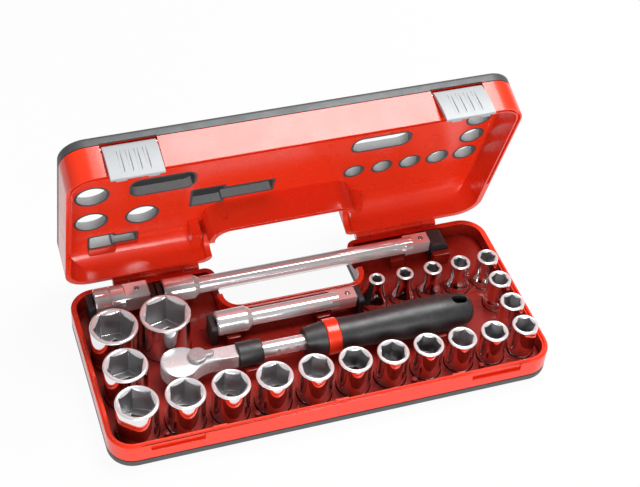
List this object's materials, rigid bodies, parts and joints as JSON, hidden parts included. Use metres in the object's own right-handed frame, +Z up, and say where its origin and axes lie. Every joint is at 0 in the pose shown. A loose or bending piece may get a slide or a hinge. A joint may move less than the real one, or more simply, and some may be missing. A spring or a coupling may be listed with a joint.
{
  "type": "socket wrench set in case",
  "caption": "Open hinged case with a windowed lid, latches and a tray of six-point sockets, extension bars, a drive adapter and a telescopic ratchet, all of which lift out.",
  "frame": {"origin": "middle of the case base's underside, on the surface it stands on", "axes": "+X along the case to the right, +Y from the front towards the hinge, +Z up"},
  "size_m": [0.39, 0.2189, 0.2118],
  "materials": {
    "red_moulding": "satin moulded plastic",
    "grey_skin": "matt dark grey plastic",
    "chrome": "polished chrome on steel",
    "steel": "plain steel",
    "latch_plastic": "silver grey plastic",
    "black_pad": "black elastomer",
    "black_grip": "soft black grip",
    "black_plastic": "black plastic",
    "red_ring": "red plastic"
  },
  "bodies": {
    "base": {"base_skin": "grey_skin", "base_shell": "red_moulding", "tool_tray": "red_moulding", "pads_long_bar": "black_pad", "pads_short_bar": "black_pad", "pads_adapter": "black_pad", "tool_cradles": "red_moulding", "hinge_pin_left": "steel", "hinge_pin_right": "steel"},
    "lid": {"lid_shell": "red_moulding", "lid_notch": "red_moulding", "lid_panel": "red_moulding", "lid_skin": "grey_skin", "bar_holders": "red_moulding", "latch_pin_left": "steel", "latch_pin_right": "steel"},
    "latch_left": {"latch_left": "latch_plastic"},
    "latch_right": {"latch_right": "latch_plastic"},
    "extension_long": {"extension_long": "chrome", "ball_long_bar": "steel"},
    "extension_short": {"extension_short": "chrome", "ball_short_bar": "steel"},
    "drive_adapter": {"drive_adapter": "chrome", "ball_adapter": "steel"},
    "ratchet": {"ratchet_head": "chrome", "ratchet_cover": "chrome", "telescopic_shaft": "chrome", "shaft_collar": "black_plastic"},
    "ratchet_drive": {"ratchet_gear": "chrome", "ball_ratchet": "steel"},
    "reverser": {"reverser_lever": "chrome"},
    "pawl": {"ratchet_pawl": "steel"},
    "grip": {"ratchet_grip": "black_grip"},
    "lock": {"lock_sleeve": "black_plastic", "lock_ring": "red_ring"},
    "socket_08": {"socket_08": "chrome"},
    "socket_09": {"socket_09": "chrome"},
    "socket_10": {"socket_10": "chrome"},
    "socket_11": {"socket_11": "chrome"},
    "socket_12": {"socket_12": "chrome"},
    "socket_13": {"socket_13": "chrome"},
    "socket_14": {"socket_14": "chrome"},
    "socket_15": {"socket_15": "chrome"},
    "socket_16": {"socket_16": "chrome"},
    "socket_17": {"socket_17": "chrome"},
    "socket_18": {"socket_18": "chrome"},
    "socket_19": {"socket_19": "chrome"},
    "socket_20": {"socket_20": "chrome"},
    "socket_21": {"socket_21": "chrome"},
    "socket_22": {"socket_22": "chrome"},
    "socket_23": {"socket_23": "chrome"},
    "socket_24": {"socket_24": "chrome"},
    "socket_26": {"socket_26": "chrome"},
    "socket_27": {"socket_27": "chrome"},
    "socket_30": {"socket_30": "chrome"},
    "socket_32": {"socket_32": "chrome"}
  },
  "joints": [
    {"name": "lid_hinge", "type": "hinge", "parent": "base", "child": "lid", "pos_m": [0, 0.0942, 0.0254], "axis": [-1, 0, 0], "range_deg": [-73, 22]},
    {"name": "latch_left_pivot", "type": "hinge", "parent": "lid", "child": "latch_left", "pos_m": [-0.14001, 0.06538, 0.20722], "axis": [-1, 0, 0], "range_deg": [-6, 54]},
    {"name": "latch_right_pivot", "type": "hinge", "parent": "lid", "child": "latch_right", "pos_m": [0.14001, 0.06538, 0.20722], "axis": [-1, 0, 0], "range_deg": [-12, 48]},
    {"name": "socket_08_lift", "type": "slide", "parent": "base", "child": "socket_08", "axis": [0, 0, 1], "range_m": [0, 0.05]},
    {"name": "socket_09_lift", "type": "slide", "parent": "base", "child": "socket_09", "axis": [0, 0, 1], "range_m": [0, 0.05]},
    {"name": "socket_10_lift", "type": "slide", "parent": "base", "child": "socket_10", "axis": [0, 0, 1], "range_m": [0, 0.05]},
    {"name": "socket_11_lift", "type": "slide", "parent": "base", "child": "socket_11", "axis": [0, 0, 1], "range_m": [0, 0.05]},
    {"name": "socket_12_lift", "type": "slide", "parent": "base", "child": "socket_12", "axis": [0, 0, 1], "range_m": [0, 0.05]},
    {"name": "socket_13_lift", "type": "slide", "parent": "base", "child": "socket_13", "axis": [0, 0, 1], "range_m": [0, 0.05]},
    {"name": "socket_14_lift", "type": "slide", "parent": "base", "child": "socket_14", "axis": [0, 0, 1], "range_m": [0, 0.05]},
    {"name": "socket_15_lift", "type": "slide", "parent": "base", "child": "socket_15", "axis": [0, 0, 1], "range_m": [0, 0.05]},
    {"name": "socket_16_lift", "type": "slide", "parent": "base", "child": "socket_16", "axis": [0, 0, 1], "range_m": [0, 0.05]},
    {"name": "socket_17_lift", "type": "slide", "parent": "base", "child": "socket_17", "axis": [0, 0, 1], "range_m": [0, 0.05]},
    {"name": "socket_18_lift", "type": "slide", "parent": "base", "child": "socket_18", "axis": [0, 0, 1], "range_m": [0, 0.05]},
    {"name": "socket_19_lift", "type": "slide", "parent": "base", "child": "socket_19", "axis": [0, 0, 1], "range_m": [0, 0.05]},
    {"name": "socket_20_lift", "type": "slide", "parent": "base", "child": "socket_20", "axis": [0, 0, 1], "range_m": [0, 0.05]},
    {"name": "socket_21_lift", "type": "slide", "parent": "base", "child": "socket_21", "axis": [0, 0, 1], "range_m": [0, 0.05]},
    {"name": "socket_22_lift", "type": "slide", "parent": "base", "child": "socket_22", "axis": [0, 0, 1], "range_m": [0, 0.05]},
    {"name": "socket_23_lift", "type": "slide", "parent": "base", "child": "socket_23", "axis": [0, 0, 1], "range_m": [0, 0.05]},
    {"name": "socket_24_lift", "type": "slide", "parent": "base", "child": "socket_24", "axis": [0, 0, 1], "range_m": [0, 0.05]},
    {"name": "socket_26_lift", "type": "slide", "parent": "base", "child": "socket_26", "axis": [0, 0, 1], "range_m": [0, 0.05]},
    {"name": "socket_27_lift", "type": "slide", "parent": "base", "child": "socket_27", "axis": [0, 0, 1], "range_m": [0, 0.05]},
    {"name": "socket_30_lift", "type": "slide", "parent": "base", "child": "socket_30", "axis": [0, 0, 1], "range_m": [0, 0.05]},
    {"name": "socket_32_lift", "type": "slide", "parent": "base", "child": "socket_32", "axis": [0, 0, 1], "range_m": [0, 0.05]},
    {"name": "extension_long_lift", "type": "slide", "parent": "base", "child": "extension_long", "axis": [0, 0, 1], "range_m": [0, 0.04]},
    {"name": "extension_short_lift", "type": "slide", "parent": "base", "child": "extension_short", "axis": [0, 0, 1], "range_m": [0, 0.05]},
    {"name": "drive_adapter_lift", "type": "slide", "parent": "base", "child": "drive_adapter", "axis": [0, 0, 1], "range_m": [0, 0.03]},
    {"name": "ratchet_lift", "type": "slide", "parent": "base", "child": "ratchet", "axis": [0, 0, 1], "range_m": [0, 0.05]},
    {"name": "drive_spin", "type": "hinge", "parent": "ratchet", "child": "ratchet_drive", "pos_m": [-0.12102, -0.02058, 0.0215], "axis": [0, 0, 1], "continuous": true},
    {"name": "reverser_turn", "type": "hinge", "parent": "ratchet", "child": "reverser", "pos_m": [-0.10602, -0.02058, 0.0385], "axis": [0, 0, 1], "range_deg": [-20, 20]},
    {"name": "pawl_rock", "type": "hinge", "parent": "ratchet", "child": "pawl", "pos_m": [-0.10602, -0.02058, 0.03], "axis": [0, 0, 1], "range_deg": [-6, 6]},
    {"name": "handle_slide", "type": "slide", "parent": "ratchet", "child": "grip", "axis": [1, 0, 0], "range_m": [0, 0.018]},
    {"name": "lock_slide", "type": "slide", "parent": "grip", "child": "lock", "axis": [-1, 0, 0], "range_m": [0, 0.003], "stiffness_N_per_m": 400}
  ],
  "couplings": [
    {"joint": "pawl_rock", "follows": "reverser_turn", "ratio": 0.3}
  ]
}
